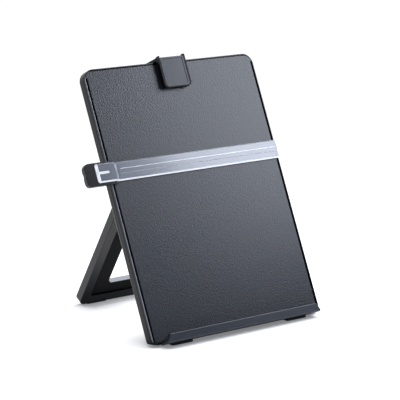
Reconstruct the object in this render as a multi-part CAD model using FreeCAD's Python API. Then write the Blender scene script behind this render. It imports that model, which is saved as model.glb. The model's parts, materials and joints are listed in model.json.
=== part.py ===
# Desk copy holder: a tilted panel on an easel leg, with a paper ledge, a spring clip and a sliding line guide.
# Millimetres. +Z is up, the reader is on the -Y side, and the table is the plane Z = 0.
# Each piece is first drawn upright, with the panel's front face on Y = 0 and its bottom edge on Z = 0,
# and is then tilted back with the panel.
import FreeCAD, Part
import math
import os

Vec = FreeCAD.Vector
os.makedirs("parts", exist_ok=True)

# Panel: a moulded tray behind a textured face plate
panel_width = 233.0
panel_height = 303.4
panel_depth = 12.6
panel_tilt = 24.0
panel_lift = 2.5
top_corner_radius = 12.5
bottom_corner_radius = 8.0
back_edge_radius = 3.0
rim_edge_radius = 0.5
wall = 2.2
rim = 1.2
bottom_rim = 2.8
face_thick = 2.5
seam_width = 0.8
seam_depth = 0.4
seam_from_front = 2.6

# Slots between face and rim, one on each side, for the line guide
slot_width = 2.6
slot_low_end = 5.0
slot_high_end = 294.0
slot_beyond_shoe = 0.5

# Clearances
fit_gap = 0.15
top_shadow_gap = 1.3
seat_gap = 0.3
turn_gap = 0.05

# Screws that hold the face plate, driven from the back
screw_shank_radius = 1.47
screw_head_radius = 2.8
screw_head_height = 2.0
screw_hole_radius = 1.6
thread_hole_radius = 1.5
counterbore_radius = 3.1
counterbore_depth = 3.0
cross_length = 3.2
cross_width = 0.7
cross_depth = 1.1
boss_radius = 4.5
face_boss_height = 4.0
face_screw_x = 86.0
face_screw_edge = 34.0
face_screw_rows = 4

# Paper ledge
ledge_half_length = 105.5
ledge_end_slant = 3.5
ledge_lip_radius = 3.0
ledge_reach = 14.5
ledge_wall = 2.2
ledge_drop = 1.0
ledge_lip_top = 8.4
ledge_web_thick = 1.8
ledge_web_top = 9.4
ledge_web_half_length = 93.0
ledge_outer_radius = 2.0
peg_radius = 2.0
peg_head_radius = 2.7
peg_head_height = 1.2
peg_height = 7.2
peg_spacing = 42.0
peg_count = 5

# Rubber front feet
foot_in_from_ledge_end = 12.0
foot_length = 27.8
foot_front = 3.4
foot_back = 4.6
foot_corner_radius = 2.0

# Easel leg
leg_open = 55.8
hinge_height = 190.6
hinge_stand_off = 6.5
leg_half_width = 76.0
leg_thick = 10.0
leg_rim = 11.4
leg_web = 22.0
leg_web_recess = 3.5
leg_corner_radius = 7.5
leg_edge_radius = 0.6
leg_opening_radius = 4.5
leg_bottom_bar = 24.7
leg_top_bar = 26.0
leg_top_below_axis = 7.5
leg_skin = 2.2
leg_pocket_depth = 4.2
leg_rib = 2.0
leg_side_bays = 4
leg_cross_bays = 3
knuckle_inner_x = 51.7
knuckle_width = 21.0
lug_thick = 5.0
lug_radius = 5.5
lug_rise = 9.0
lug_side_gap = 0.3
heel_gap = 0.1
heel_height = 3.0
heel_depth = 3.5
hinge_pin_radius = 2.5
pin_head_radius = 4.0
pin_head_thick = 1.5
ring_thick = 1.0
washer_thick = 0.5
washer_radius = 4.6
pad_inner_x = 38.0
pad_length = 26.0
pad_proud = 0.8
pad_seat = 3.0
pad_width = 6.0

# Clip
clip_half_width = 18.5
clip_cheek = 2.4
clip_front = 6.0
clip_bottom = 272.5
clip_board_thick = 2.4
clip_plate_thick = 1.5
clip_plate_corner = 3.5
clip_plate_sill = 0.9
clip_plate_border = 2.0
clip_plate_dish = 0.4
clip_cheek_back = 1.5
clip_over_top = 1.2
clip_roof_thick = 2.4
clip_ear_rise = 4.4
clip_ear_radius = 1.2
clip_corner_radius = 4.5
clip_pin_back = 5.0
clip_pin_below_top = 7.4
clip_pin_radius = 1.75
clip_knuckle_radius = 4.2
clip_tail_length = 26.0
clip_tail_flare = 4.0
clip_tail_stand_off = 4.0
jaw_pad_height = 3.0
jaw_pad_inset = 1.0
bracket_sheet = 1.2
bracket_half_width = 14.2
bracket_below_pin = 13.0
bracket_above_pin = 6.0
bracket_lug_radius = 3.8
bracket_screw_x = 7.0
bracket_screw_below_pin = 8.5
bracket_screw_length = 6.0
bracket_boss_height = 4.6
spring_wire = 1.2
spring_inner_radius = 2.1
spring_half_length = 8.4
spring_stub = 2.0

# Line guide
guide_height = 188.35
block_overhang = 33.5
block_inner = 7.0
block_half_height = 12.75
block_thick = 5.3
block_low_corner_radius = 5.0
block_high_corner_radius = 7.0
block_edge_radius = 0.7
block_scoop_radius = 9.0
block_scoop_depth = 0.6
block_gap = 0.4
strip_raise = 0.65
strip_half_height = 10.3
strip_thick = 2.2
strip_bevel = 1.5
strip_corner_radius = 2.5
strip_gap = 1.4
strip_left_beyond = 20.0
step_start_inset = 4.0
step_run = 5.0
band_half_height = 2.75
band_rise = 0.4
band_flank = 0.5
band_end_margin = 3.0
bar_length = 15.5
bar_half_height = 1.3
tongue_thick = 2.0
tongue_half_height = 10.5
strip_leg_thick = 1.7
strip_leg_half_height = 8.5
shoe_thick = 2.9
shoe_width = 17.0
shoe_gap = 1.1
end_shoe_width = 8.0
shoe_peg_radius = 1.0
shoe_peg_offset = 6.0
leaf_thick = 0.3
leaf_width = 10.0
leaf_half_length = 9.5

# Sizes that follow from the ones above
half_width = panel_width / 2
slope = math.tan(math.radians(panel_tilt))
cavity_back = panel_depth - wall
slot_outer = half_width - rim
slot_inner = slot_outer - slot_width
slot_middle = (slot_outer + slot_inner) / 2
hinge_y = panel_depth + hinge_stand_off
leg_slope = math.radians(leg_open - panel_tilt)
hinge_world_z = (
    panel_lift
    + hinge_height * math.cos(math.radians(panel_tilt))
    - hinge_y * math.sin(math.radians(panel_tilt))
)
leg_reach = (hinge_world_z - leg_thick / 2 * math.sin(leg_slope)) / math.cos(leg_slope)
leg_length = leg_reach - pad_proud
leg_foot_z = hinge_height - leg_length
clip_pin_y = panel_depth + clip_pin_back
clip_pin_z = panel_height - clip_pin_below_top
face_screw_step = (panel_height - 2 * face_screw_edge) / (face_screw_rows - 1)
face_screw_places = [
    (side * face_screw_x, face_screw_edge + row * face_screw_step)
    for side in (-1, 1)
    for row in range(face_screw_rows)
]
shoe_front = face_thick + shoe_gap
shoe_back = shoe_front + shoe_thick
slot_depth = shoe_back + slot_beyond_shoe
block_left = -half_width - block_overhang
block_right = -half_width + block_inner
strip_middle = guide_height + strip_raise


def box(x0, x1, y0, y1, z0, z1):
    return Part.makeBox(x1 - x0, y1 - y0, z1 - z0, Vec(x0, y0, z0))


def rod(radius, x0, x1, y, z):
    """A round bar along X."""
    return Part.makeCylinder(radius, x1 - x0, Vec(x0, y, z), Vec(1, 0, 0))


def post(radius, y0, y1, x, z):
    """A round bar along Y."""
    return Part.makeCylinder(radius, y1 - y0, Vec(x, y0, z), Vec(0, 1, 0))


def edges_where(shape, test):
    return [edge for edge in shape.Edges if test(edge.BoundBox)]


def rounded_box(x0, x1, y0, y1, z0, z1, low_radius, high_radius):
    """A slab whose corners, seen from the front, are rounded."""
    slab = box(x0, x1, y0, y1, z0, z1)
    for radius, height in ((low_radius, z0), (high_radius, z1)):
        corners = edges_where(
            slab,
            lambda b: b.XLength < 0.001 and b.ZLength < 0.001 and abs(b.ZMin - height) < 0.001,
        )
        slab = slab.makeFillet(radius, corners)
    return slab


def prism_x(points, x0, x1):
    """A shape with the same (y, z) outline all along X."""
    corners = [Vec(x0, y, z) for y, z in points]
    return Part.Face(Part.makePolygon(corners + corners[:1])).extrude(Vec(x1 - x0, 0, 0))


def prism_z(points, z0, z1):
    """A shape with the same (x, y) outline all along Z."""
    corners = [Vec(x, y, z0) for x, y in points]
    return Part.Face(Part.makePolygon(corners + corners[:1])).extrude(Vec(0, 0, z1 - z0))


def below_slope(raise_by, y0, y1, half_length):
    """What lies under a plane that is level once the panel is tilted."""
    under = -panel_height
    points = [(y0, y0 * slope + raise_by), (y1, y1 * slope + raise_by), (y1, under), (y0, under)]
    return prism_x(points, -half_length, half_length)


def tilted(shape):
    shape.rotate(Vec(0, 0, 0), Vec(1, 0, 0), -panel_tilt)
    shape.translate(Vec(0, 0, panel_lift))
    return shape


def tilted_leg(shape):
    shape.rotate(Vec(0, hinge_y, hinge_height), Vec(1, 0, 0), leg_open)
    return tilted(shape)


def save(name, shape):
    solids = shape.Solids
    body = solids[0] if len(solids) == 1 else Part.makeCompound(solids)
    print(name, "solids", len(solids), "volume", round(body.Volume, 1), "valid", body.isValid())
    body.exportStep("parts/" + name + ".step")


def screw(x, z, head_y, length):
    """A cross-head screw whose head sits at head_y and whose shank runs towards the front."""
    head = post(screw_head_radius, head_y, head_y + screw_head_height, x, z)
    shank = post(screw_shank_radius, head_y - length, head_y, x, z)
    top = head_y + screw_head_height
    recess = box(
        x - cross_length / 2, x + cross_length / 2, top - cross_depth, top, z - cross_width / 2, z + cross_width / 2
    )
    across = recess.copy()
    across.rotate(Vec(x, top, z), Vec(0, 1, 0), 90)
    return head.fuse(shank).removeSplitter().cut(recess).cut(across)


def hinge_lug(side, inner_x):
    """An ear on the tray's back that holds one end of a leg pin."""
    x0, x1 = sorted((side * inner_x, side * (inner_x + lug_thick)))
    low = hinge_height - lug_radius
    foot = box(x0, x1, panel_depth - wall / 2, hinge_y, low, hinge_height + lug_radius)
    brace_points = [
        (panel_depth - wall / 2, hinge_height),
        (hinge_y, hinge_height + lug_radius),
        (panel_depth - wall / 2, hinge_height + lug_rise),
    ]
    brace = prism_x(brace_points, x0, x1)
    ear = foot.fuse(brace).fuse(rod(lug_radius, x0, x1, hinge_y, hinge_height))
    return ear.removeSplitter()


def lug_inner_positions():
    inner = knuckle_inner_x - washer_thick - 2 * turn_gap - lug_thick
    outer = knuckle_inner_x + knuckle_width + lug_side_gap
    return inner, outer


def make_rear_tray():
    outer = rounded_box(
        -half_width, half_width, 0, panel_depth, 0, panel_height, bottom_corner_radius, top_corner_radius
    )
    front = edges_where(outer, lambda b: b.YMax < 0.001)
    outer = outer.makeFillet(rim_edge_radius, front)
    outer = outer.cut(below_slope(0, -1, panel_depth + 1, panel_width))
    back = edges_where(outer, lambda b: b.YMin > panel_depth - 0.001)
    outer = outer.makeFillet(back_edge_radius, back)

    groove_band = rounded_box(
        -half_width - wall, half_width + wall, seam_from_front, seam_from_front + seam_width,
        bottom_rim, panel_height + wall, bottom_corner_radius, top_corner_radius
    )
    groove_core = rounded_box(
        -half_width + seam_depth, half_width - seam_depth, seam_from_front, seam_from_front + seam_width,
        bottom_rim, panel_height - seam_depth, bottom_corner_radius, top_corner_radius - seam_depth
    )
    outer = outer.cut(groove_band.cut(groove_core))

    inner_x = half_width - wall
    cavity = rounded_box(
        -inner_x, inner_x, -1, cavity_back, 0, panel_height - wall, bottom_corner_radius, top_corner_radius - wall
    )
    wall_upright = wall / math.cos(math.radians(panel_tilt))
    cavity = cavity.cut(below_slope(wall_upright, -2, panel_depth, panel_width))
    pocket = rounded_box(
        -slot_outer, slot_outer, -1, face_thick, bottom_rim, panel_height - rim,
        bottom_corner_radius - rim, top_corner_radius - rim
    )
    tray = outer.cut(cavity).cut(pocket)
    for side in (-1, 1):
        x0, x1 = sorted((side * slot_inner, side * slot_outer))
        tray = tray.cut(box(x0, x1, -1, slot_depth, slot_low_end, slot_high_end))

    boss_front = face_thick + face_boss_height
    for x, z in face_screw_places:
        tray = tray.fuse(post(boss_radius, boss_front, cavity_back, x, z))
    boss_z = clip_pin_z - bracket_screw_below_pin
    for side in (-1, 1):
        x = side * bracket_screw_x
        tray = tray.fuse(post(boss_radius, cavity_back - bracket_boss_height, cavity_back, x, boss_z))
    for side in (-1, 1):
        for inner in lug_inner_positions():
            tray = tray.fuse(hinge_lug(side, inner))
    for x, z in face_screw_places:
        tray = tray.cut(post(screw_hole_radius, boss_front - 1, panel_depth + 1, x, z))
        tray = tray.cut(post(counterbore_radius, panel_depth - counterbore_depth, panel_depth + 1, x, z))
    hole_end = panel_depth + bracket_sheet - bracket_screw_length
    for side in (-1, 1):
        x = side * bracket_screw_x
        tray = tray.cut(post(thread_hole_radius, hole_end - 1, panel_depth + 1, x, boss_z))
    tray = tray.cut(rod(hinge_pin_radius + turn_gap, -half_width, half_width, hinge_y, hinge_height))
    return tray.removeSplitter()


def make_face_panel():
    edge = slot_outer - fit_gap
    plate = rounded_box(
        -edge, edge, 0, face_thick, bottom_rim + fit_gap, panel_height - rim - top_shadow_gap,
        bottom_corner_radius - rim, top_corner_radius - rim - top_shadow_gap
    )
    for side in (-1, 1):
        x0, x1 = sorted((side * slot_inner, side * half_width))
        plate = plate.cut(box(x0, x1, -1, face_thick + 1, slot_low_end, slot_high_end))
    boss_end = face_thick + face_boss_height
    for x, z in face_screw_places:
        plate = plate.fuse(post(boss_radius, face_thick, boss_end, x, z))
    for x, z in face_screw_places:
        plate = plate.cut(post(thread_hole_radius, face_thick, boss_end + 1, x, z))
    for x in peg_places():
        plate = plate.cut(post(peg_radius + fit_gap, -1, face_thick + 1, x, peg_height))
    return plate


def peg_places():
    return [(i - (peg_count - 1) / 2) * peg_spacing for i in range(peg_count)]


def make_face_screws():
    head_y = panel_depth - counterbore_depth
    length = head_y - face_thick - seat_gap
    return Part.makeCompound([screw(x, z, head_y, length) for x, z in face_screw_places])


def make_ledge_lip():
    """The ledge's front wall, its ends slanting in and its top corners rounded."""
    low = -ledge_drop
    foot_line = low + ledge_wall
    points = [
        (-ledge_half_length, low),
        (-ledge_half_length, foot_line),
        (-ledge_half_length + ledge_end_slant, ledge_lip_top),
        (ledge_half_length - ledge_end_slant, ledge_lip_top),
        (ledge_half_length, foot_line),
        (ledge_half_length, low),
    ]
    corners = [Vec(x, -ledge_reach, z) for x, z in points]
    lip = Part.Face(Part.makePolygon(corners + corners[:1])).extrude(Vec(0, ledge_wall, 0))
    top_corners = edges_where(lip, lambda b: b.ZMin > ledge_lip_top - 0.001 and b.XLength < 0.001)
    lip = lip.makeFillet(ledge_lip_radius, top_corners)
    top_line = edges_where(lip, lambda b: b.ZMin > ledge_lip_top - 0.001 and b.XLength > 1)
    return lip.makeFillet(ledge_wall / 3, top_line)


def make_paper_ledge():
    low = -ledge_drop
    shelf = box(-ledge_half_length, ledge_half_length, -ledge_reach, 0, low, low + ledge_wall)
    web = box(-ledge_web_half_length, ledge_web_half_length, -ledge_web_thick, 0, low, ledge_web_top)
    ledge = make_ledge_lip().fuse(shelf).fuse(web).removeSplitter()
    outer_edge = edges_where(ledge, lambda b: b.YMax < -ledge_reach + 0.001 and b.ZMax < low + 0.001)
    ledge = ledge.makeFillet(ledge_outer_radius, outer_edge)
    for x in peg_places():
        ledge = ledge.fuse(post(peg_radius, -ledge_web_thick / 2, face_thick, x, peg_height))
        ledge = ledge.fuse(post(peg_head_radius, face_thick, face_thick + peg_head_height, x, peg_height))
    return ledge.removeSplitter()


def make_front_foot(side, tray, ledge):
    """A rubber block stuck under the tray, shaped to it. Already in its place on the table."""
    outer = ledge_half_length - foot_in_from_ledge_end
    x0, x1 = sorted((side * (outer - foot_length), side * outer))
    foot = box(x0, x1, -foot_front, foot_back, 0, panel_lift)
    uprights = edges_where(foot, lambda b: b.XLength < 0.001 and b.YLength < 0.001)
    foot = foot.makeFillet(foot_corner_radius, uprights)
    return foot.cut(ledge).cut(tray)


def leg_slab(inset, y0, y1, radius):
    low = leg_foot_z + inset
    high = hinge_height - leg_top_below_axis - inset
    edge = leg_half_width - inset
    return rounded_box(-edge, edge, y0, y1, low, high, radius, radius)


def leg_window(grow, y0, y1):
    """The leg's opening, made larger all round by grow."""
    edge = leg_half_width - leg_rim - leg_web + grow
    low = leg_foot_z + leg_bottom_bar - grow
    high = hinge_height - leg_top_below_axis - leg_top_bar + grow
    radius = leg_opening_radius
    return rounded_box(-edge, edge, y0, y1, low, high, radius, radius)


def stop_heel(x0, x1):
    """The flat on a knuckle that meets the tray's back and stops the leg at its open angle."""
    points = [
        (panel_depth + heel_gap, hinge_height),
        (panel_depth + heel_gap, hinge_height + heel_height),
        (panel_depth + heel_depth, hinge_height + heel_height + 1),
        (hinge_y, hinge_height),
    ]
    heel = prism_x(points, x0, x1)
    heel.rotate(Vec(0, hinge_y, hinge_height), Vec(1, 0, 0), -leg_open)
    return heel


def make_leg_frame():
    front = hinge_y - leg_thick / 2
    back = hinge_y + leg_thick / 2
    leg = leg_slab(0, front, back, leg_corner_radius)
    leg = leg.makeFillet(leg_edge_radius, edges_where(leg, lambda b: b.YLength < 0.001))
    leg = leg.cut(leg_slab(leg_rim, front - 1, front + leg_web_recess, leg_opening_radius))
    leg = leg.cut(leg_window(0, front - 1, back + 1))

    pocket = leg_slab(leg_skin, back - leg_pocket_depth, back + 1, leg_corner_radius - leg_skin)
    pocket = pocket.cut(leg_window(leg_skin, front, back + 2))
    low = leg_foot_z
    high = hinge_height - leg_top_below_axis
    bay = (high - low) / leg_side_bays
    for i in range(1, leg_side_bays):
        level = low + i * bay
        pocket = pocket.cut(box(-half_width, half_width, front, back + 2, level - leg_rib / 2, level + leg_rib / 2))
    bay = 2 * leg_half_width / leg_cross_bays
    for i in range(1, leg_cross_bays):
        x = -leg_half_width + i * bay
        pocket = pocket.cut(box(x - leg_rib / 2, x + leg_rib / 2, front, back + 2, low - 1, high + 1))
    leg = leg.cut(pocket)

    for side in (-1, 1):
        x0, x1 = sorted((side * knuckle_inner_x, side * (knuckle_inner_x + knuckle_width)))
        neck = box(x0, x1, front, back, high - leg_skin, hinge_height)
        leg = leg.fuse(neck).fuse(rod(leg_thick / 2, x0, x1, hinge_y, hinge_height)).fuse(stop_heel(x0, x1))
        x0, x1 = sorted((side * pad_inner_x, side * (pad_inner_x + pad_length)))
        leg = leg.cut(box(x0, x1, front - 1, front + pad_width, low - 1, low + pad_seat))
    leg = leg.cut(rod(hinge_pin_radius + turn_gap, -half_width, half_width, hinge_y, hinge_height))
    return leg.removeSplitter()


def make_leg_pad(side):
    front = hinge_y - leg_thick / 2
    x0, x1 = sorted((side * pad_inner_x, side * (pad_inner_x + pad_length)))
    low = leg_foot_z - pad_proud
    return box(x0 + turn_gap, x1 - turn_gap, front, front + pad_width, low, leg_foot_z + pad_seat)


def make_leg_pin(side):
    inner, outer = lug_inner_positions()
    near = inner - turn_gap
    far = outer + lug_thick + ring_thick + 2 * turn_gap
    x0, x1 = sorted((side * near, side * far))
    pin = rod(hinge_pin_radius, x0, x1, hinge_y, hinge_height)
    x0, x1 = sorted((side * (near - pin_head_thick), side * near))
    return pin.fuse(rod(pin_head_radius, x0, x1, hinge_y, hinge_height)).removeSplitter()


def make_leg_ring(side):
    outer = lug_inner_positions()[1] + lug_thick + turn_gap
    x0, x1 = sorted((side * outer, side * (outer + ring_thick)))
    hole = rod(hinge_pin_radius + turn_gap, x0 - 1, x1 + 1, hinge_y, hinge_height)
    return rod(pin_head_radius, x0, x1, hinge_y, hinge_height).cut(hole)


def make_leg_washer(side):
    near = knuckle_inner_x - turn_gap - washer_thick
    x0, x1 = sorted((side * near, side * (near + washer_thick)))
    hole = rod(hinge_pin_radius + turn_gap, x0 - 1, x1 + 1, hinge_y, hinge_height)
    return rod(washer_radius, x0, x1, hinge_y, hinge_height).cut(hole)


def make_clip_lever():
    w = clip_half_width
    front = -clip_front
    plate_back = front + clip_plate_thick
    board_back = plate_back + clip_board_thick
    roof_low = panel_height + clip_over_top
    roof_high = roof_low + clip_roof_thick
    ear_top = roof_low + clip_ear_rise
    rear_y = clip_pin_y + clip_tail_stand_off
    tail_low = clip_pin_z - clip_tail_length

    body = box(-w, w, front, board_back, clip_bottom, ear_top)
    corners = edges_where(body, lambda b: b.XLength < 0.001 and b.ZLength < 0.001 and b.ZMin < clip_bottom + 0.001)
    body = body.makeFillet(clip_corner_radius, corners)
    ears = edges_where(body, lambda b: b.XLength < 0.001 and b.ZLength < 0.001 and b.ZMin > ear_top - 0.001)
    body = body.makeFillet(clip_ear_radius, ears)
    inner = w - clip_cheek
    seat = rounded_box(
        -inner, inner, front - 1, plate_back, clip_bottom + clip_plate_sill, ear_top + clip_cheek + 1,
        clip_plate_corner - fit_gap, clip_plate_corner
    )
    body = body.cut(seat)
    body = body.cut(box(-inner, inner, front - 1, board_back + 1, roof_high, ear_top + 1))

    tail_points = [
        (rear_y, roof_low),
        (rear_y, clip_pin_z),
        (rear_y + clip_tail_flare, tail_low),
        (rear_y + clip_tail_flare + clip_board_thick, tail_low),
        (rear_y + clip_board_thick, clip_pin_z),
        (rear_y + clip_board_thick, roof_high),
        (rear_y, roof_high),
    ]
    body = body.fuse(prism_x(tail_points, -w, w))
    body = body.fuse(box(-w, w, plate_back, rear_y + clip_board_thick, roof_low, roof_high))
    for side in (-1, 1):
        x0, x1 = sorted((side * inner, side * w))
        side_wall = box(x0, x1, front + clip_ear_radius, -clip_cheek_back, clip_bottom + clip_corner_radius, roof_low)
        over = box(x0, x1, front + clip_ear_radius, rear_y + clip_board_thick, roof_low, ear_top - clip_ear_radius)
        hang = box(x0, x1, clip_pin_y - clip_knuckle_radius, rear_y, clip_pin_z, roof_low)
        knuckle = rod(clip_knuckle_radius, x0, x1, clip_pin_y, clip_pin_z)
        gusset_points = [
            (clip_pin_y, clip_pin_z - clip_knuckle_radius),
            (rear_y + 0.5, clip_pin_z),
            (rear_y + clip_tail_flare + 0.5, tail_low),
            (rear_y + clip_tail_flare - 1, tail_low),
        ]
        gusset = prism_x(gusset_points, x0, x1)
        body = body.fuse(side_wall).fuse(over).fuse(hang).fuse(knuckle).fuse(gusset)
    jaw = box(-inner, inner, board_back - 0.5, -clip_cheek_back, clip_bottom, clip_bottom + jaw_pad_height + 2 * jaw_pad_inset)
    body = body.fuse(jaw)
    pad_low = clip_bottom + jaw_pad_inset
    pad_edge = inner - jaw_pad_inset
    body = body.cut(box(-pad_edge, pad_edge, board_back, 0, pad_low, pad_low + jaw_pad_height))
    body = body.cut(rod(clip_pin_radius + turn_gap, -2 * w, 2 * w, clip_pin_y, clip_pin_z))
    return body.removeSplitter()


def make_clip_face_plate():
    front = -clip_front
    edge = clip_half_width - clip_cheek - fit_gap
    low = clip_bottom + clip_plate_sill + fit_gap
    high = panel_height + clip_over_top + clip_roof_thick
    radius = clip_plate_corner - fit_gap
    plate = rounded_box(-edge, edge, front, front + clip_plate_thick, low, high, radius, 1)
    inset = clip_plate_border
    dish = rounded_box(
        -edge + inset, edge - inset, front - 1, front + clip_plate_dish, low + inset, high - inset,
        radius - inset / 2, 1
    )
    return plate.cut(dish)


def make_clip_jaw_pad():
    board_back = -clip_front + clip_plate_thick + clip_board_thick
    edge = clip_half_width - clip_cheek - jaw_pad_inset - turn_gap
    low = clip_bottom + jaw_pad_inset + turn_gap
    return box(-edge, edge, board_back, -seat_gap, low, low + jaw_pad_height - 2 * turn_gap)


def make_clip_bracket():
    y0 = panel_depth
    y1 = panel_depth + bracket_sheet
    low = clip_pin_z - bracket_below_pin
    high = clip_pin_z + bracket_above_pin
    bracket = box(-bracket_half_width, bracket_half_width, y0, y1, low, high)
    for side in (-1, 1):
        x0, x1 = sorted((side * bracket_half_width, side * (bracket_half_width - bracket_sheet)))
        lug = box(x0, x1, y0, clip_pin_y, clip_pin_z - bracket_lug_radius, clip_pin_z + bracket_lug_radius)
        bracket = bracket.fuse(lug).fuse(rod(bracket_lug_radius, x0, x1, clip_pin_y, clip_pin_z))
    for side in (-1, 1):
        x = side * bracket_screw_x
        z = clip_pin_z - bracket_screw_below_pin
        bracket = bracket.cut(post(screw_hole_radius, y0 - 1, y1 + 1, x, z))
    bracket = bracket.cut(rod(clip_pin_radius + turn_gap, -half_width, half_width, clip_pin_y, clip_pin_z))
    return bracket.removeSplitter()


def make_clip_screws():
    head_y = panel_depth + bracket_sheet
    z = clip_pin_z - bracket_screw_below_pin
    return Part.makeCompound([screw(side * bracket_screw_x, z, head_y, bracket_screw_length) for side in (-1, 1)])


def make_clip_pin():
    reach = clip_half_width + turn_gap
    pin = rod(clip_pin_radius, -reach, reach, clip_pin_y, clip_pin_z)
    head_radius = clip_pin_radius * 1.6
    for side in (-1, 1):
        x0, x1 = sorted((side * reach, side * (reach + 1)))
        pin = pin.fuse(rod(head_radius, x0, x1, clip_pin_y, clip_pin_z))
    return pin.removeSplitter()


def make_clip_spring():
    """The torsion spring round the pin, closed coils drawn as one sleeve with its two ends."""
    outer = spring_inner_radius + spring_wire
    sleeve = rod(outer, -spring_half_length, spring_half_length, clip_pin_y, clip_pin_z)
    middle = spring_inner_radius + spring_wire / 2
    for side, y in ((-1, clip_pin_y - middle), (1, clip_pin_y + middle)):
        x = side * (spring_half_length - spring_wire / 2)
        low = clip_pin_z - spring_stub
        end = Part.makeCylinder(spring_wire / 2, spring_stub, Vec(x, y, low), Vec(0, 0, 1))
        sleeve = sleeve.fuse(end)
    bore = rod(spring_inner_radius, -2 * spring_half_length, 2 * spring_half_length, clip_pin_y, clip_pin_z)
    return sleeve.cut(bore).removeSplitter()


def step_points():
    """Where the strip's back comes off the block, and where it reaches its height over the page."""
    start = (-half_width + step_start_inset, -block_gap - block_thick)
    end = (start[0] + step_run, -strip_gap)
    return start, end


def make_slider_block():
    start, end = step_points()
    share = (block_right - start[0]) / step_run
    end_y = start[1] + share * (end[1] - start[1])
    front = -block_gap - block_thick
    points = [
        (block_left, -block_gap),
        (block_left, front),
        start,
        (block_right, end_y),
        (block_right, -block_gap),
    ]
    low = guide_height - block_half_height
    high = guide_height + block_half_height
    block = prism_z(points, low, high)
    for radius, level in ((block_low_corner_radius, low), (block_high_corner_radius, high)):
        corner = edges_where(
            block, lambda b: b.XMax < block_left + 0.001 and b.ZLength < 0.001 and abs(b.ZMin - level) < 0.001
        )
        block = block.makeFillet(radius, corner)
    scoop_x = block_left - block_scoop_radius + block_scoop_depth
    scoop = post(block_scoop_radius, front - 1, 0, scoop_x, guide_height)
    block = block.cut(scoop)
    rim_edges = edges_where(
        block, lambda b: b.YMax < front + 0.001 and b.XMax < start[0] + 0.001 and b.XMin < start[0] - 1
    )
    block = block.makeFillet(block_edge_radius, rim_edges)
    tongue_edge = slot_middle - tongue_thick / 2
    tongue = box(
        -tongue_edge - tongue_thick, -tongue_edge, -block_gap - 1, shoe_back,
        guide_height - tongue_half_height, guide_height + tongue_half_height
    )
    block = block.fuse(tongue)
    for level in shoe_peg_levels():
        block = block.cut(rod(shoe_peg_radius + turn_gap, -half_width, -tongue_edge + 1, shoe_middle(), level))
    return block.removeSplitter()


def shoe_peg_levels():
    return [guide_height - shoe_peg_offset, guide_height + shoe_peg_offset]


def shoe_middle():
    return shoe_front + shoe_thick / 2


def make_guide_strip():
    start, end = step_points()
    left = -half_width - strip_left_beyond
    right = slot_middle + strip_leg_thick / 2
    points = [
        (left, start[1]),
        start,
        end,
        (right, end[1]),
        (right, end[1] - strip_thick),
        (end[0], end[1] - strip_thick),
        (start[0], start[1] - strip_thick),
        (left, start[1] - strip_thick),
    ]
    low = strip_middle - strip_half_height
    high = strip_middle + strip_half_height
    strip = prism_z(points, low, high)
    left_corners = edges_where(strip, lambda b: b.XMax < left + 0.001 and b.ZLength < 0.001)
    strip = strip.makeFillet(strip_corner_radius, left_corners)
    raised_front = start[1] - strip_thick
    flat_front = end[1] - strip_thick

    def is_bevelled(b):
        if b.XMax < left + strip_corner_radius + 0.001:
            return b.YMax < raised_front + 0.001
        on_raised = b.YMin < raised_front + 0.001
        on_flat = b.XMin > end[0] - 0.001 and b.YMin < flat_front + 0.001
        return b.XLength > 1 and (on_raised or on_flat)

    strip = strip.makeChamfer(strip_bevel, edges_where(strip, is_bevelled))
    band_top = flat_front - band_rise
    band_points = [
        (flat_front + band_rise, strip_middle - band_half_height),
        (flat_front, strip_middle - band_half_height),
        (band_top, strip_middle - band_half_height + band_flank),
        (band_top, strip_middle + band_half_height - band_flank),
        (flat_front, strip_middle + band_half_height),
        (flat_front + band_rise, strip_middle + band_half_height),
    ]
    strip = strip.fuse(prism_x(band_points, end[0] + band_end_margin, right - band_end_margin))
    strip = strip.cut(
        box(
            left - 1, left + bar_length, raised_front - 1, start[1] + 1,
            strip_middle - bar_half_height, strip_middle + bar_half_height
        )
    )
    leg = box(
        right - strip_leg_thick, right, end[1] - strip_thick / 2, shoe_back,
        guide_height - strip_leg_half_height, guide_height + strip_leg_half_height
    )
    strip = strip.fuse(leg)
    for level in shoe_peg_levels():
        strip = strip.cut(rod(shoe_peg_radius + turn_gap, right - strip_leg_thick - 1, right + 1, shoe_middle(), level))
    return strip.removeSplitter()


def make_index_bar():
    start = step_points()[0]
    left = -half_width - strip_left_beyond
    edge = bar_half_height - turn_gap
    front = start[1] - strip_thick
    bar = box(left, left + bar_length - turn_gap, front, start[1], strip_middle - edge, strip_middle + edge)
    nose = edges_where(bar, lambda b: b.XMax < left + 0.001 and b.YMax < front + 0.001)
    return bar.makeChamfer(strip_bevel, nose)


def make_guide_shoe():
    edge = slot_middle - tongue_thick / 2 - turn_gap
    shoe = box(
        -edge, -edge + shoe_width, shoe_front, shoe_back,
        guide_height - block_half_height, guide_height + block_half_height
    )
    for level in shoe_peg_levels():
        shoe = shoe.fuse(rod(shoe_peg_radius, -edge - tongue_thick, -edge + 1, shoe_middle(), level))
    return shoe.removeSplitter()


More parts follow.
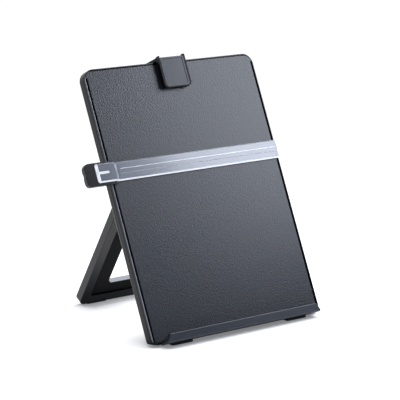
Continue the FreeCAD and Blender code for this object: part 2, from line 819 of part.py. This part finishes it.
def make_guide_leaf_spring():
    """A bowed steel leaf between the shoe and the back of the face plate."""
    shoe_edge = slot_middle - tongue_thick / 2 - turn_gap
    x0 = -shoe_edge + (shoe_width - leaf_width) / 2
    rise = shoe_gap - seat_gap - leaf_thick
    back = Part.Arc(
        Vec(x0, shoe_front, guide_height - leaf_half_length),
        Vec(x0, shoe_front - rise, guide_height),
        Vec(x0, shoe_front, guide_height + leaf_half_length),
    )
    front = Part.Arc(
        Vec(x0, shoe_front - leaf_thick, guide_height - leaf_half_length),
        Vec(x0, shoe_front - leaf_thick - rise, guide_height),
        Vec(x0, shoe_front - leaf_thick, guide_height + leaf_half_length),
    )
    ends = [
        Part.LineSegment(
            Vec(x0, shoe_front, guide_height + side * leaf_half_length),
            Vec(x0, shoe_front - leaf_thick, guide_height + side * leaf_half_length),
        )
        for side in (-1, 1)
    ]
    wire = Part.Wire(Part.__sortEdges__([curve.toShape() for curve in [back, front] + ends]))
    return Part.Face(wire).extrude(Vec(leaf_width, 0, 0))


def make_guide_end_shoe():
    edge = slot_middle - strip_leg_thick / 2 - turn_gap
    shoe = box(
        edge - end_shoe_width, edge, face_thick + seat_gap, shoe_back,
        guide_height - strip_leg_half_height, guide_height + strip_leg_half_height
    )
    for level in shoe_peg_levels():
        shoe = shoe.fuse(rod(shoe_peg_radius, edge - 1, edge + strip_leg_thick, shoe_middle(), level))
    return shoe.removeSplitter()


pieces = {
    "rear_tray": tilted(make_rear_tray()),
    "face_panel": tilted(make_face_panel()),
    "face_screws": tilted(make_face_screws()),
    "paper_ledge": tilted(make_paper_ledge()),
    "leg_frame": tilted_leg(make_leg_frame()),
    "clip_lever": tilted(make_clip_lever()),
    "clip_face_plate": tilted(make_clip_face_plate()),
    "clip_jaw_pad": tilted(make_clip_jaw_pad()),
    "clip_bracket": tilted(make_clip_bracket()),
    "clip_screws": tilted(make_clip_screws()),
    "clip_pin": tilted(make_clip_pin()),
    "clip_spring": tilted(make_clip_spring()),
    "slider_block": tilted(make_slider_block()),
    "guide_strip": tilted(make_guide_strip()),
    "index_bar": tilted(make_index_bar()),
    "guide_shoe": tilted(make_guide_shoe()),
    "guide_leaf_spring": tilted(make_guide_leaf_spring()),
    "guide_end_shoe": tilted(make_guide_end_shoe()),
}
for side_name, side in (("left", -1), ("right", 1)):
    pieces["front_foot_" + side_name] = make_front_foot(side, pieces["rear_tray"], pieces["paper_ledge"])
    pieces["leg_pad_" + side_name] = tilted_leg(make_leg_pad(side))
    pieces["leg_pin_" + side_name] = tilted(make_leg_pin(side))
    pieces["leg_ring_" + side_name] = tilted(make_leg_ring(side))
    pieces["leg_washer_" + side_name] = tilted(make_leg_washer(side))

# The origin goes to the middle of the whole object's base
bounds = FreeCAD.BoundBox()
for piece in pieces.values():
    bounds.add(piece.optimalBoundingBox(False, False))
centring = Vec(-bounds.Center.x, -bounds.Center.y, 0)
for name, piece in pieces.items():
    piece.translate(centring)
    save(name, piece)

print("moved by", round(centring.x, 4), round(centring.y, 4), "size", bounds.XLength, bounds.YLength, bounds.ZLength)
for label, y, z in (("leg hinge", hinge_y, hinge_height), ("clip pivot", clip_pin_y, clip_pin_z)):
    marker = tilted(Part.Vertex(Vec(0, y, z)))
    marker.translate(centring)
    print(label, [round(value, 4) for value in marker.Point])
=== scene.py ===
# A desk copy holder: a graphite panel on an easel leg, with a ledge, a sprung clip and a clear line guide.
import json
import math

import bpy
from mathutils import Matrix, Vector

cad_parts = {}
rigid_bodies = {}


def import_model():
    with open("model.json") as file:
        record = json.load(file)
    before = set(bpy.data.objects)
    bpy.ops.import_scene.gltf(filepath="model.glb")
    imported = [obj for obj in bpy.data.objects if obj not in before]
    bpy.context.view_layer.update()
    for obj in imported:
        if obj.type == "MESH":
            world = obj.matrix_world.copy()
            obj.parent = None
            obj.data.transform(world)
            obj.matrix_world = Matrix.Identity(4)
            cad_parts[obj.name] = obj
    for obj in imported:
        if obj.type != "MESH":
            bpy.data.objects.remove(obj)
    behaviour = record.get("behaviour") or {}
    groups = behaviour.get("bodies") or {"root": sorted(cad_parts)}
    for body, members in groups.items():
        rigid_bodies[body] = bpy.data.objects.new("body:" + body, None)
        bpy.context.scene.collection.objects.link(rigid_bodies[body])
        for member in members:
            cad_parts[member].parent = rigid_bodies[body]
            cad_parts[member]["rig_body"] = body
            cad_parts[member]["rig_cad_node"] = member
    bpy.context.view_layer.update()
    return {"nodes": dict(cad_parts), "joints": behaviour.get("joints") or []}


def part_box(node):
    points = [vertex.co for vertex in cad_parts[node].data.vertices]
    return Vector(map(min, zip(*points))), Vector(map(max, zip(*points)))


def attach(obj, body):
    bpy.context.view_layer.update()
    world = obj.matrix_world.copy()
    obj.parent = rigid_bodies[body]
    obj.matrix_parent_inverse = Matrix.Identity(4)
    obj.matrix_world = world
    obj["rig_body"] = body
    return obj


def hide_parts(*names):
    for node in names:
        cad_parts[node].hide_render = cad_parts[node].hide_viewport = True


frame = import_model()
nodes = frame["nodes"]
bpy.ops.object.select_all(action="DESELECT")

# Camera
# A long lens at the front left, a little above the clip, looking slightly down.
# It has the photograph's angle and framing.
view_azimuth = math.radians(-38.46)
view_elevation = math.radians(11.61)
view_distance = 2.1542
look_at = Vector((0.00994, -0.03425, 0.13497))
view_back = Vector((
    math.sin(view_azimuth) * math.cos(view_elevation),
    -math.cos(view_azimuth) * math.cos(view_elevation),
    math.sin(view_elevation),
))
bpy.ops.object.camera_add(location=look_at + view_back * view_distance)
camera = bpy.context.object
camera.name = "camera"
camera.rotation_euler = (-view_back).to_track_quat("-Z", "Y").to_euler()
camera.data.sensor_width = 36.0
camera.data.lens = 178.3
camera.data.clip_start = 0.05
camera.data.clip_end = 50.0
bpy.context.scene.camera = camera
bpy.context.scene.view_settings.view_transform = "Standard"


# Studio
# White paper on the table that runs on for a long way, so that there is no horizon, in a room that is dim
# round the object and white behind it. Two soft square lamps stand high at the right, and a tall narrow one
# at the left.
def linear(hex_colour):
    """An sRGB hex colour in Blender's linear values."""
    channels = [int(hex_colour[i:i + 2], 16) / 255 for i in (1, 3, 5)]
    curved = [c / 12.92 if c <= 0.04045 else ((c + 0.055) / 1.055) ** 2.4 for c in channels]
    return curved + [1.0]


def add_node(tree, kind, inputs=None, **settings):
    """Adds a node, sets its properties, and gives each named input a value or a link."""
    node = tree.nodes.new(kind)
    for name, value in settings.items():
        setattr(node, name, value)
    for name, value in (inputs or {}).items():
        if isinstance(value, bpy.types.NodeSocket):
            tree.links.new(value, node.inputs[name])
        else:
            node.inputs[name].default_value = value
    return node


def new_material(name):
    """An empty material: its node tree and its output node."""
    material = bpy.data.materials.new(name)
    material.use_nodes = True
    material.node_tree.nodes.clear()
    output = add_node(material.node_tree, "ShaderNodeOutputMaterial")
    return material, material.node_tree, output


# The paper glows to the camera and in reflections, so that it is white under plain lamps, and throws no light
# of its own on the object. The glow fades where the object stands close over it, which keeps the shadow.
paper, tree, output = new_material("White_studio_paper")
open_glow = 0.92
contact_reach = 0.05
contact_glow = 0.2
mirrored_reach = 0.09
rays = add_node(tree, "ShaderNodeLightPath")
sheet = add_node(tree, "ShaderNodeBsdfDiffuse", {"Color": linear("#e4e4e6")})
open_sky = add_node(tree, "ShaderNodeAmbientOcclusion", {"Distance": contact_reach}, samples=12)
contact_shadow = add_node(
    tree, "ShaderNodeMapRange",
    {
        "Value": open_sky.outputs["AO"], "From Min": 0.4, "From Max": 0.9,
        "To Min": contact_glow, "To Max": open_glow,
    },
)
mirrored_sky = add_node(tree, "ShaderNodeAmbientOcclusion", {"Distance": mirrored_reach}, samples=12)
mirrored_shadow = add_node(
    tree, "ShaderNodeMapRange",
    {
        "Value": mirrored_sky.outputs["AO"], "From Min": 0.68, "From Max": 0.95,
        "To Min": 0.0, "To Max": open_glow,
    },
)
glow = add_node(
    tree, "ShaderNodeMix",
    {
        "Factor": rays.outputs["Is Glossy Ray"],
        "A": contact_shadow.outputs[0], "B": mirrored_shadow.outputs[0],
    },
)
lit = add_node(tree, "ShaderNodeEmission", {"Color": linear("#ffffff"), "Strength": glow.outputs[0]})
brighter = add_node(tree, "ShaderNodeAddShader")
tree.links.new(sheet.outputs[0], brighter.inputs[0])
tree.links.new(lit.outputs[0], brighter.inputs[1])
seen = add_node(
    tree, "ShaderNodeMixShader",
    {0: rays.outputs["Is Diffuse Ray"], 1: brighter.outputs[0], 2: sheet.outputs[0]},
)
tree.links.new(seen.outputs[0], output.inputs["Surface"])

paper_size = 12.0
just_under_the_feet = -0.0002
bpy.ops.mesh.primitive_plane_add(size=paper_size, location=(0, 0, just_under_the_feet))
floor = bpy.context.object
floor.name = "studio_paper"
floor.data.materials.append(paper)
floor.select_set(False)

# Straight to the camera the room is white. Glossy and clear surfaces see that white behind the object too.
world = bpy.data.worlds.new("white_room")
world.use_nodes = True
bpy.context.scene.world = world
tree = world.node_tree
tree.nodes.clear()
rays = add_node(tree, "ShaderNodeLightPath")
place = add_node(tree, "ShaderNodeTexCoord")
axes = add_node(tree, "ShaderNodeSeparateXYZ", {0: place.outputs["Generated"]})
behind = add_node(
    tree, "ShaderNodeMapRange", {"Value": axes.outputs["Y"], "From Min": 0.45, "From Max": 0.6}
)
mirrored = add_node(
    tree, "ShaderNodeMath",
    {0: rays.outputs["Is Glossy Ray"], 1: rays.outputs["Is Transmission Ray"]}, operation="MAXIMUM",
)
through = add_node(
    tree, "ShaderNodeMath", {0: behind.outputs[0], 1: mirrored.outputs[0]}, operation="MULTIPLY"
)
straight = add_node(
    tree, "ShaderNodeMath", {0: rays.outputs["Is Camera Ray"], 1: through.outputs[0]}, operation="MAXIMUM"
)
room = add_node(tree, "ShaderNodeBackground", {"Color": linear("#dfe6f5"), "Strength": 0.22})
white = add_node(tree, "ShaderNodeBackground", {"Color": linear("#ffffff"), "Strength": 1.0})
both = add_node(tree, "ShaderNodeMixShader", {0: straight.outputs[0]})
tree.links.new(room.outputs[0], both.inputs[1])
tree.links.new(white.outputs[0], both.inputs[2])
surface = add_node(tree, "ShaderNodeOutputWorld")
tree.links.new(both.outputs[0], surface.inputs["Surface"])


def softbox(name, toward, distance, width, height, watts, colour="#eef3ff"):
    """A square-edged soft lamp that faces the object from the direction toward."""
    direction = Vector(toward).normalized()
    bpy.ops.object.light_add(type="AREA", location=look_at + direction * distance)
    lamp = bpy.context.object
    lamp.name = name
    lamp.data.shape = "RECTANGLE"
    lamp.data.size = width
    lamp.data.size_y = height
    lamp.data.energy = watts
    lamp.data.color = linear(colour)[:3]
    lamp.rotation_euler = (-direction).to_track_quat("-Z", "Y").to_euler()
    lamp.select_set(False)


softbox("key_softbox", (0.75, -0.37, 0.55), 0.62, 0.44, 0.44, 3.35)
softbox("top_softbox", (0.6, 0.31, 0.77), 0.98, 0.3, 0.3, 3.0)
softbox("left_strip_lamp", (-1.0, -0.42, 0.3), 2.0, 0.2, 1.2, 6.0)


# Rear tray
# One black ABS moulding: the back, the side walls, the rim that shows round the face, and the ears that
# carry the leg's pins. The tool was spark-eroded, which leaves a satin skin with a fine grain. The real grain
# of all these mouldings is near 0.1 mm, too fine to show, so it is drawn several times as coarse.
drift_mm = 45
moulded_edge = 0.0004


def moulded_plastic(name, colour, roughness, grain_mm, grain_height_mm, uneven=0.06, ior=1.52):
    """A moulded plastic: colour and gloss drift a little, edges are softly rounded, the skin is grained."""
    material, tree, output = new_material(name)
    place = add_node(tree, "ShaderNodeTexCoord")
    drift = add_node(
        tree, "ShaderNodeTexNoise",
        {"Vector": place.outputs["Object"], "Scale": 1000 / drift_mm, "Detail": 3.0},
    )
    darker = [c * (1 - uneven) for c in linear(colour)[:3]] + [1.0]
    lighter = [c * (1 + uneven) for c in linear(colour)[:3]] + [1.0]
    tint = add_node(
        tree, "ShaderNodeMix", {"Factor": drift.outputs["Fac"], "A": darker, "B": lighter}, data_type="RGBA"
    )
    grain = add_node(
        tree, "ShaderNodeTexNoise",
        {"Vector": place.outputs["Object"], "Scale": 1000 / grain_mm, "Detail": 2.0, "Roughness": 0.6},
    )
    broken_edge = add_node(tree, "ShaderNodeBevel", {"Radius": moulded_edge}, samples=4)
    bump = add_node(
        tree, "ShaderNodeBump",
        {
            "Height": grain.outputs["Fac"], "Distance": grain_height_mm / 1000, "Strength": 1.0,
            "Normal": broken_edge.outputs[0],
        },
    )
    patch = add_node(
        tree, "ShaderNodeMapRange",
        {"Value": drift.outputs["Fac"], "To Min": roughness - 0.04, "To Max": roughness + 0.04},
    )
    shader = add_node(
        tree, "ShaderNodeBsdfPrincipled",
        {"Roughness": patch.outputs[0], "IOR": ior, "Normal": bump.outputs[0]},
    )
    tree.links.new(tint.outputs["Result"], shader.inputs["Base Color"])
    tree.links.new(shader.outputs[0], output.inputs["Surface"])
    return material


def dress(names, material):
    """Gives each of these pieces that one material."""
    for name in names:
        for place in nodes[name].material_slots:
            place.material = material


black_abs = moulded_plastic("Black_ABS_satin_moulded", "#0c0d0e", 0.2, 0.5, 0.004, ior=1.38)
dress(["rear_tray"], black_abs)

# A thin pale grey line along the front of the left rim is a painted highlight, where the rim's edge catches
# the light.
panel_tilt = math.radians(24.0)
rim_width = 0.0012
highlight_depth = 0.0002
fade = 0.0001
face_normal = Vector((0, -math.cos(panel_tilt), math.sin(panel_tilt)))
page_up = Vector((0, math.sin(panel_tilt), math.cos(panel_tilt)))
tray_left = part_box("rear_tray")[0].x
tray_front = max(v.co.dot(face_normal) for v in nodes["rear_tray"].data.vertices)
tree = black_abs.node_tree
shader = next(node for node in tree.nodes if node.type == "BSDF_PRINCIPLED")
moulded_colour = shader.inputs["Base Color"].links[0].from_socket
place = add_node(tree, "ShaderNodeTexCoord")
axes = add_node(tree, "ShaderNodeSeparateXYZ", {0: place.outputs["Object"]})
forward = add_node(
    tree, "ShaderNodeVectorMath", {0: place.outputs["Object"], 1: face_normal}, operation="DOT_PRODUCT"
)
near_left = add_node(
    tree, "ShaderNodeMapRange",
    {
        "Value": axes.outputs["X"],
        "From Min": tray_left + rim_width, "From Max": tray_left + rim_width + fade,
        "To Min": 1.0, "To Max": 0.0,
    },
)
near_front = add_node(
    tree, "ShaderNodeMapRange",
    {
        "Value": forward.outputs["Value"],
        "From Min": tray_front - highlight_depth, "From Max": tray_front - highlight_depth + fade,
    },
)
painted_rim_highlight = add_node(
    tree, "ShaderNodeMath", {0: near_left.outputs[0], 1: near_front.outputs[0]}, operation="MULTIPLY"
)
# Mixes the painted highlight's pale grey into the rim's own colour.
rim_highlight_colour = add_node(
    tree, "ShaderNodeMix",
    {"Factor": painted_rim_highlight.outputs[0], "A": moulded_colour, "B": linear("#a9adb4")}, data_type="RGBA",
)
tree.links.new(rim_highlight_colour.outputs["Result"], shader.inputs["Base Color"])

# Face plate
# A graphite ABS plate, screwed to the tray from behind. Its tool was etched with a deep pebble pattern,
# which breaks every reflection into small soft sparks. The real pebbles are under 1 mm, and are drawn a
# little coarser so that they show.
pebble, tree, output = new_material("Graphite_ABS_pebble_etched")
pebble_mm = 1.45
pebble_height = 0.00025
place = add_node(tree, "ShaderNodeTexCoord")
speckle = add_node(
    tree, "ShaderNodeTexNoise",
    {"Vector": place.outputs["Object"], "Scale": 1000 / pebble_mm, "Detail": 2.0, "Roughness": 0.5},
)
bump = add_node(
    tree, "ShaderNodeBump", {"Height": speckle.outputs["Fac"], "Distance": pebble_height, "Strength": 1.0}
)
tint = add_node(
    tree, "ShaderNodeMix",
    {"Factor": speckle.outputs["Fac"], "A": linear("#171a20"), "B": linear("#2b3039")}, data_type="RGBA",
)
shader = add_node(
    tree, "ShaderNodeBsdfPrincipled", {"Roughness": 0.33, "IOR": 1.52, "Normal": bump.outputs[0]}
)
tree.links.new(tint.outputs["Result"], shader.inputs["Base Color"])
tree.links.new(shader.outputs[0], output.inputs["Surface"])
dress(["face_panel"], pebble)

# Paper ledge
# A plain graphite ABS moulding, a shelf and a lip, with five pegs through the face plate whose ends are
# swaged over behind it. Its skin is smoother than the face, so light lies on it in whole soft patches.
graphite_abs = moulded_plastic("Graphite_ABS_fine_satin", "#31363f", 0.34, 0.6, 0.006)
dress(["paper_ledge"], graphite_abs)

# Rubber feet and pads
# Black nitrile rubber, cut from extruded strip and stuck on: two feet under the front, two pads under the
# leg and one behind the clip's lip. It is dull, uneven and a little dusty.
rubber = moulded_plastic("Black_nitrile_rubber", "#161616", 0.78, 0.8, 0.03, uneven=0.15)
dress(["front_foot_left", "front_foot_right", "leg_pad_left", "leg_pad_right", "clip_jaw_pad"], rubber)

# Easel leg
# One black ABS moulding with a raised rim in front and cored bays behind, swung on two steel pins. The tool
# was polished for the rim and the edges, which are glossy, and left rough for the sunk web, which is dull.
leg_abs, tree, output = new_material("Black_ABS_leg_polished_rim")
hinge = Vector(next(joint["pos_m"] for joint in frame["joints"] if joint["name"] == "leg_fold"))
leg_lean = math.radians(31.8)
web_from_hinge = 0.0022
rim_from_hinge = 0.0034
web_roughness = 0.95
rim_roughness = 0.22
leg_grain_mm = 0.7
leg_grain_height = 0.000008
leg_face = Vector((0, -math.cos(leg_lean), -math.sin(leg_lean)))
place = add_node(tree, "ShaderNodeTexCoord")
from_hinge = add_node(
    tree, "ShaderNodeVectorMath", {0: place.outputs["Object"], 1: hinge}, operation="SUBTRACT"
)
forward = add_node(
    tree, "ShaderNodeVectorMath", {0: from_hinge.outputs[0], 1: leg_face}, operation="DOT_PRODUCT"
)
raised = add_node(
    tree, "ShaderNodeMapRange",
    {"Value": forward.outputs["Value"], "From Min": web_from_hinge, "From Max": rim_from_hinge},
)
surface = add_node(tree, "ShaderNodeNewGeometry")
facing = add_node(
    tree, "ShaderNodeVectorMath", {0: surface.outputs["True Normal"], 1: leg_face}, operation="DOT_PRODUCT"
)
sideways = add_node(
    tree, "ShaderNodeMapRange",
    {"Value": facing.outputs["Value"], "From Min": 0.7, "From Max": 0.9, "To Min": 1.0, "To Max": 0.0},
)
on_rim = add_node(
    tree, "ShaderNodeMath", {0: raised.outputs[0], 1: sideways.outputs[0]}, operation="MAXIMUM"
)
polish = add_node(
    tree, "ShaderNodeMapRange", {"Value": on_rim.outputs[0], "To Min": web_roughness, "To Max": rim_roughness}
)
grain = add_node(
    tree, "ShaderNodeTexNoise",
    {"Vector": place.outputs["Object"], "Scale": 1000 / leg_grain_mm, "Detail": 2.0},
)
broken_edge = add_node(tree, "ShaderNodeBevel", {"Radius": moulded_edge}, samples=4)
bump = add_node(
    tree, "ShaderNodeBump",
    {
        "Height": grain.outputs["Fac"], "Distance": leg_grain_height, "Strength": 1.0,
        "Normal": broken_edge.outputs[0],
    },
)
tint = add_node(
    tree, "ShaderNodeMix",
    {"Factor": on_rim.outputs[0], "A": linear("#0a0a0b"), "B": linear("#0d0d0e")}, data_type="RGBA",
)
shader = add_node(
    tree, "ShaderNodeBsdfPrincipled", {"Roughness": polish.outputs[0], "IOR": 1.48, "Normal": bump.outputs[0]}
)
tree.links.new(tint.outputs["Result"], shader.inputs["Base Color"])
tree.links.new(shader.outputs[0], output.inputs["Surface"])
dress(["leg_frame"], leg_abs)

# Clip
# A black ABS lever with a graphite ABS plate set in its front, on a steel pin in a bent steel bracket. The
# lever is dull, and the dished plate has a softer satin shine than the ledge.
clip_abs = moulded_plastic("Black_ABS_clip_moulded", "#050506", 0.5, 0.5, 0.002, ior=1.3)
dress(["clip_lever"], clip_abs)
plate_abs = moulded_plastic("Graphite_ABS_clip_plate", "#1b2029", 0.4, 0.5, 0.008)
dress(["clip_face_plate"], plate_abs)


# Screws, pins, rings and bracket
# Mild steel, turned or pressed, then plated with bright zinc, and bare spring steel for the push-on rings and
# the leaf. The marks of the tools are finer than 0.3 mm, so they are drawn coarser, as faint streaks that
# make the shine a little uneven.
streak_mm = 1.5


def plain_metal(name, colour, roughness):
    """A plated or drawn metal, faintly streaked."""
    material, tree, output = new_material(name)
    place = add_node(tree, "ShaderNodeTexCoord")
    streaks = add_node(
        tree, "ShaderNodeTexNoise",
        {"Vector": place.outputs["Object"], "Scale": 1000 / streak_mm, "Detail": 3.0},
    )
    worn = add_node(
        tree, "ShaderNodeMapRange",
        {"Value": streaks.outputs["Fac"], "To Min": roughness - 0.08, "To Max": roughness + 0.08},
    )
    shader = add_node(
        tree, "ShaderNodeBsdfPrincipled",
        {"Base Color": linear(colour), "Metallic": 1.0, "Roughness": worn.outputs[0]},
    )
    tree.links.new(shader.outputs[0], output.inputs["Surface"])
    return material


zinc = plain_metal("Zinc_plated_steel", "#c9c8c2", 0.3)
dress(["face_screws", "clip_bracket", "clip_screws", "clip_pin", "leg_pin_left", "leg_pin_right"], zinc)
spring_steel = plain_metal("Drawn_spring_steel", "#a9a9a6", 0.34)
dress(["clip_spring", "guide_leaf_spring", "leg_ring_left", "leg_ring_right"], spring_steel)

# Clip spring
# A torsion spring of drawn steel wire, wound turn by turn on a mandrel, with a short straight end at each
# side. It sits round the clip's pin and presses the lip onto the page.
wire = 0.0012
bore_radius = 0.0021
coil_radius = bore_radius + wire / 2
straight_end = 0.002
spring_low, spring_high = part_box("clip_spring")
pivot = Vector(next(joint["pos_m"] for joint in frame["joints"] if joint["name"] == "clip_pivot"))
half_turns = 27
steps_per_half_turn = 12
coil_length = spring_high.x - spring_low.x - wire
bpy.ops.object.select_all(action="DESELECT")
bpy.ops.mesh.primitive_circle_add(
    vertices=12, radius=wire / 2, location=(spring_low.x + wire / 2, pivot.y, pivot.z)
)
coil = bpy.context.object
coil.name = "clip_coil_spring"
bpy.ops.object.mode_set(mode="EDIT")
bpy.ops.transform.translate(value=(0, -coil_radius, 0))
bpy.ops.object.mode_set(mode="OBJECT")
winding = coil.modifiers.new("winding", "SCREW")
winding.axis = "X"
winding.angle = math.pi
winding.iterations = half_turns
winding.screw_offset = coil_length / half_turns
winding.steps = steps_per_half_turn
winding.render_steps = steps_per_half_turn
bpy.ops.object.modifier_apply(modifier="winding")
bpy.ops.object.transform_apply(location=True, rotation=True, scale=True)
bpy.ops.object.mode_set(mode="EDIT")
bpy.ops.mesh.select_all(action="SELECT")
bpy.ops.mesh.remove_doubles(threshold=0.000001)
bpy.ops.mesh.select_all(action="DESELECT")
bpy.ops.mesh.select_non_manifold()
bpy.ops.mesh.extrude_region_move(TRANSFORM_OT_translate={"value": (0, 0, -straight_end)})
bpy.ops.mesh.edge_face_add()
bpy.ops.mesh.select_all(action="SELECT")
bpy.ops.mesh.normals_make_consistent(inside=False)
bpy.ops.object.mode_set(mode="OBJECT")
bpy.ops.object.shade_smooth_by_angle(angle=math.radians(40))
coil.data.materials.append(spring_steel)
coil.select_set(False)
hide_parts("clip_spring")
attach(coil, "holder")

# Washers and shoes
# Natural acetal, stamped from sheet for the leg's friction washers, and moulded for the two shoes that slide
# behind the face plate. It is off-white, waxy and a little uneven.
acetal = moulded_plastic("Natural_acetal", "#d9d7cd", 0.4, 0.6, 0.005)
dress(["leg_washer_left", "leg_washer_right", "guide_shoe", "guide_end_shoe"], acetal)

# Line guide
# A black ABS thumb block that slides on the left rim, and a clear acrylic strip across the page, with
# bevelled edges, a raised band along its middle and a white styrene bar that marks the line. The strip's sawn
# left and bottom edges are painted white with a painted glow, for the light that runs through the sheet and
# leaves there, and its corners carry painted highlights.
block_abs = moulded_plastic("Black_ABS_guide_moulded", "#090a0c", 0.26, 0.5, 0.003)
dress(["slider_block"], block_abs)
white_styrene = moulded_plastic("White_styrene", "#f4f4f4", 0.35, 0.6, 0.003, uneven=0.01)
# The bar is given a faint painted glow, so that it reads whiter than the lamps alone make it.
styrene = next(node for node in white_styrene.node_tree.nodes if node.type == "BSDF_PRINCIPLED")
styrene.inputs["Emission Color"].default_value = linear("#ffffff")
styrene.inputs["Emission Strength"].default_value = 0.3
dress(["index_bar"], white_styrene)

# The strip's polished faces are scuffed and hazy from use, so they hide most of what is behind them.
strip_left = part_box("guide_strip")[0].x
strip_bottom = min(v.co.dot(page_up) for v in nodes["guide_strip"].data.vertices)
left_band = 0.0026
left_band_fade = 0.0004
bottom_band = 0.0012
bottom_band_fade = 0.0003
haze_mm = 12
hazy_opacity = 0.74
sawn_opacity = 1.0
sawn_painted_glow = 0.4

clear, tree, output = new_material("Clear_acrylic_polished")
place = add_node(tree, "ShaderNodeTexCoord")
axes = add_node(tree, "ShaderNodeSeparateXYZ", {0: place.outputs["Object"]})
up = add_node(
    tree, "ShaderNodeVectorMath", {0: place.outputs["Object"], 1: page_up}, operation="DOT_PRODUCT"
)
from_left = add_node(
    tree, "ShaderNodeMapRange",
    {
        "Value": axes.outputs["X"], "From Min": strip_left + left_band,
        "From Max": strip_left + left_band + left_band_fade, "To Min": 1.0, "To Max": 0.0,
    },
)
from_bottom = add_node(
    tree, "ShaderNodeMapRange",
    {
        "Value": up.outputs["Value"], "From Min": strip_bottom + bottom_band,
        "From Max": strip_bottom + bottom_band + bottom_band_fade, "To Min": 1.0, "To Max": 0.0,
    },
)
sawn = add_node(
    tree, "ShaderNodeMath", {0: from_left.outputs[0], 1: from_bottom.outputs[0]}, operation="MAXIMUM"
)
haze = add_node(
    tree, "ShaderNodeTexNoise", {"Vector": place.outputs["Object"], "Scale": 1000 / haze_mm, "Detail": 3.0}
)
scuffed = add_node(tree, "ShaderNodeMapRange", {"Value": haze.outputs["Fac"], "To Min": 0.2, "To Max": 0.26})
clouded = add_node(
    tree, "ShaderNodeMapRange", {"Value": sawn.outputs[0], "To Min": hazy_opacity, "To Max": sawn_opacity}
)
# The sawn bands are painted near white, made opaque and given a painted glow, for light leaving the sheet
# there.
tint = add_node(
    tree, "ShaderNodeMix",
    {"Factor": sawn.outputs[0], "A": linear("#848b97"), "B": linear("#f6f8fb")}, data_type="RGBA",
)
painted_edge_glow = add_node(tree, "ShaderNodeMapRange", {"Value": sawn.outputs[0], "To Min": 0.0, "To Max": sawn_painted_glow})
shader = add_node(
    tree, "ShaderNodeBsdfPrincipled",
    {
        "Roughness": scuffed.outputs[0], "IOR": 1.6, "Specular IOR Level": 1.0,
        "Coat Weight": 0.5, "Coat Roughness": 0.1, "Alpha": clouded.outputs[0],
        "Emission Color": linear("#f4f7ff"), "Emission Strength": painted_edge_glow.outputs[0],
    },
)
tree.links.new(tint.outputs["Result"], shader.inputs["Base Color"])
tree.links.new(shader.outputs[0], output.inputs["Surface"])

# Its softened corners carry painted highlights, thin white lines with a faint painted glow, broken up here
# and there by noise; the same noise varies their roughness as handling wears them.
glint, tree, output = new_material("Acrylic_corner_painted_glint")
wear_and_glint_mm = 6
place = add_node(tree, "ShaderNodeTexCoord")
wear_and_glint_breakup = add_node(
    tree, "ShaderNodeTexNoise", {"Vector": place.outputs["Object"], "Scale": 1000 / wear_and_glint_mm, "Detail": 2.0}
)
worn = add_node(tree, "ShaderNodeMapRange", {"Value": wear_and_glint_breakup.outputs["Fac"], "To Min": 0.3, "To Max": 0.5})
painted_glint_alpha = add_node(tree, "ShaderNodeMapRange", {"Value": wear_and_glint_breakup.outputs["Fac"], "To Min": 0.7, "To Max": 0.95})
shader = add_node(
    tree, "ShaderNodeBsdfPrincipled",
    {
        "Base Color": linear("#f4f6fa"), "Roughness": worn.outputs[0], "IOR": 1.49,
        "Alpha": painted_glint_alpha.outputs[0], "Emission Color": linear("#f4f7ff"), "Emission Strength": 0.25,
    },
)
tree.links.new(shader.outputs[0], output.inputs["Surface"])


def own_copy(node, name):
    """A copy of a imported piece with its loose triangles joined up, to be finished further."""
    copy = nodes[node].copy()
    copy.data = nodes[node].data.copy()
    copy.name = name
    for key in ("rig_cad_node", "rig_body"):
        if key in copy:
            del copy[key]
    bpy.context.collection.objects.link(copy)
    copy.parent = None
    bpy.ops.object.select_all(action="DESELECT")
    bpy.context.view_layer.objects.active = copy
    copy.select_set(True)
    bpy.ops.object.mode_set(mode="EDIT")
    bpy.ops.mesh.select_all(action="SELECT")
    bpy.ops.mesh.remove_doubles(threshold=0.000002)
    bpy.ops.mesh.dissolve_limited(angle_limit=math.radians(1.0))
    bpy.ops.object.mode_set(mode="OBJECT")
    return copy


strip = own_copy("guide_strip", "line_strip")
strip.data.materials.clear()
strip.data.materials.append(clear)
strip.data.materials.append(glint)
softened = strip.modifiers.new("softened_edges", "BEVEL")
softened.width = 0.00035
softened.segments = 3
softened.limit_method = "ANGLE"
softened.angle_limit = math.radians(20)
softened.material = 1
bpy.ops.object.modifier_apply(modifier="softened_edges")
bpy.ops.object.shade_smooth_by_angle(angle=math.radians(30))
strip.modifiers.new("flat_faces", "WEIGHTED_NORMAL").keep_sharp = True
bpy.ops.object.modifier_apply(modifier="flat_faces")
strip.select_set(False)
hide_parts("guide_strip")
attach(strip, "guide")
